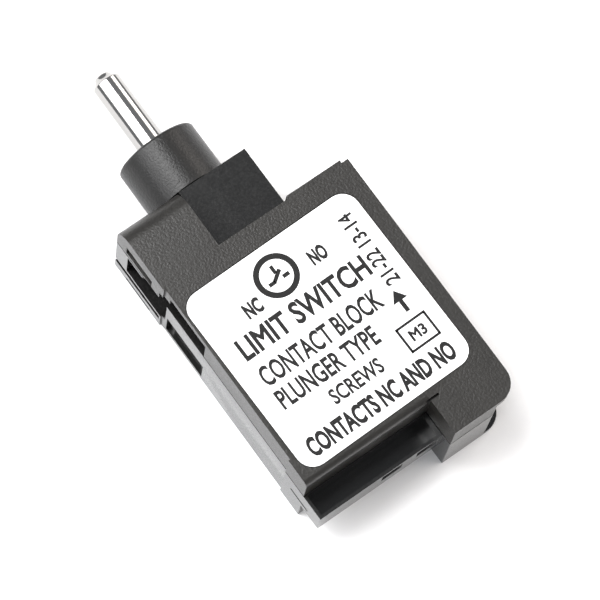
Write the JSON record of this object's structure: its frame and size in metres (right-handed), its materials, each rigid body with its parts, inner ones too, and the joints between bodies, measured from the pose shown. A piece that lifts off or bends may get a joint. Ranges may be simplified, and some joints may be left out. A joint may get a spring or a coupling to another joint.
{
  "type": "limit switch",
  "caption": "Open limit switch: a black moulded contact block with a label and a sprung steel pin plunger in a round collar.",
  "frame": {"origin": "bottom centre of the bounding box, on the terminal side the switch lies on", "axes": "+Z out of the label face, +Y along the plunger towards its tip, +X to the right of the label"},
  "size_m": [0.03, 0.0674, 0.016],
  "materials": {
    "black_thermoset": "satin moulded",
    "collar_plastic": "fine grained",
    "label_card": "printed film",
    "seal_rubber": "soft matt",
    "polished_steel": "ground and polished",
    "slide_plastic": "natural moulded",
    "spring_wire": "drawn wire",
    "bridge_copper": "rolled copper alloy strip",
    "silver_tip": "silver contact",
    "terminal_brass": "stamped brass",
    "zinc_steel": "zinc plated"
  },
  "bodies": {
    "housing": {"base_housing": "black_thermoset", "label_cover": "black_thermoset", "rating_label": "label_card", "guide_bush": "collar_plastic", "wiper_seal": "seal_rubber", "return_spring": "spring_wire", "terminal_nc_left": "terminal_brass", "terminal_nc_right": "terminal_brass", "terminal_no_left": "terminal_brass", "terminal_no_right": "terminal_brass", "fixed_tip_nc_left": "silver_tip", "fixed_tip_nc_right": "silver_tip", "fixed_tip_no_left": "silver_tip", "fixed_tip_no_right": "silver_tip"},
    "plunger": {"plunger_pin": "polished_steel", "plunger_slider": "slide_plastic"},
    "contact_carriage": {"contact_carrier": "slide_plastic", "bridge_nc": "bridge_copper", "bridge_no": "bridge_copper", "contact_spring": "spring_wire", "transfer_spring": "spring_wire", "moving_tip_nc_left": "silver_tip", "moving_tip_nc_right": "silver_tip", "moving_tip_no_left": "silver_tip", "moving_tip_no_right": "silver_tip"},
    "clamp_plate_nc_left": {"clamp_nc_left": "zinc_steel"},
    "terminal_screw_nc_left": {"screw_nc_left": "zinc_steel"},
    "clamp_plate_nc_right": {"clamp_nc_right": "zinc_steel"},
    "terminal_screw_nc_right": {"screw_nc_right": "zinc_steel"},
    "clamp_plate_no_left": {"clamp_no_left": "zinc_steel"},
    "terminal_screw_no_left": {"screw_no_left": "zinc_steel"},
    "clamp_plate_no_right": {"clamp_no_right": "zinc_steel"},
    "terminal_screw_no_right": {"screw_no_right": "zinc_steel"}
  },
  "joints": [
    {"name": "plunger_slide", "type": "slide", "parent": "housing", "child": "plunger", "axis": [0, -1, 0], "range_m": [0, 0.0055], "stiffness_N_per_m": 800, "springref_m": -0.004, "deforming": ["transfer_spring"]},
    {"name": "carriage_slide", "type": "slide", "parent": "housing", "child": "contact_carriage", "axis": [0, -1, 0], "range_m": [0, 0.0019], "deforming": ["return_spring"]},
    {"name": "clamp_slide_nc_left", "type": "slide", "parent": "housing", "child": "clamp_plate_nc_left", "axis": [0, 0, -1], "range_m": [0, 0.001]},
    {"name": "screw_turn_nc_left", "type": "hinge", "parent": "clamp_plate_nc_left", "child": "terminal_screw_nc_left", "pos_m": [-0.0105, -0.0022, 0], "axis": [0, 0, -1], "range_deg": [0, 720]},
    {"name": "clamp_slide_nc_right", "type": "slide", "parent": "housing", "child": "clamp_plate_nc_right", "axis": [0, 0, -1], "range_m": [0, 0.001]},
    {"name": "screw_turn_nc_right", "type": "hinge", "parent": "clamp_plate_nc_right", "child": "terminal_screw_nc_right", "pos_m": [0.0105, -0.0022, 0], "axis": [0, 0, -1], "range_deg": [0, 720]},
    {"name": "clamp_slide_no_left", "type": "slide", "parent": "housing", "child": "clamp_plate_no_left", "axis": [0, 0, -1], "range_m": [0, 0.001]},
    {"name": "screw_turn_no_left", "type": "hinge", "parent": "clamp_plate_no_left", "child": "terminal_screw_no_left", "pos_m": [-0.0105, -0.0215, 0], "axis": [0, 0, -1], "range_deg": [0, 720]},
    {"name": "clamp_slide_no_right", "type": "slide", "parent": "housing", "child": "clamp_plate_no_right", "axis": [0, 0, -1], "range_m": [0, 0.001]},
    {"name": "screw_turn_no_right", "type": "hinge", "parent": "clamp_plate_no_right", "child": "terminal_screw_no_right", "pos_m": [0.0105, -0.0215, 0], "axis": [0, 0, -1], "range_deg": [0, 720]}
  ],
  "couplings": [
    {"joint": "carriage_slide", "follows": "plunger_slide", "ratio": 0.345},
    {"joint": "screw_turn_nc_left", "follows": "clamp_slide_nc_left", "rad_per_m": 12566},
    {"joint": "screw_turn_nc_right", "follows": "clamp_slide_nc_right", "rad_per_m": 12566},
    {"joint": "screw_turn_no_left", "follows": "clamp_slide_no_left", "rad_per_m": 12566},
    {"joint": "screw_turn_no_right", "follows": "clamp_slide_no_right", "rad_per_m": 12566}
  ]
}
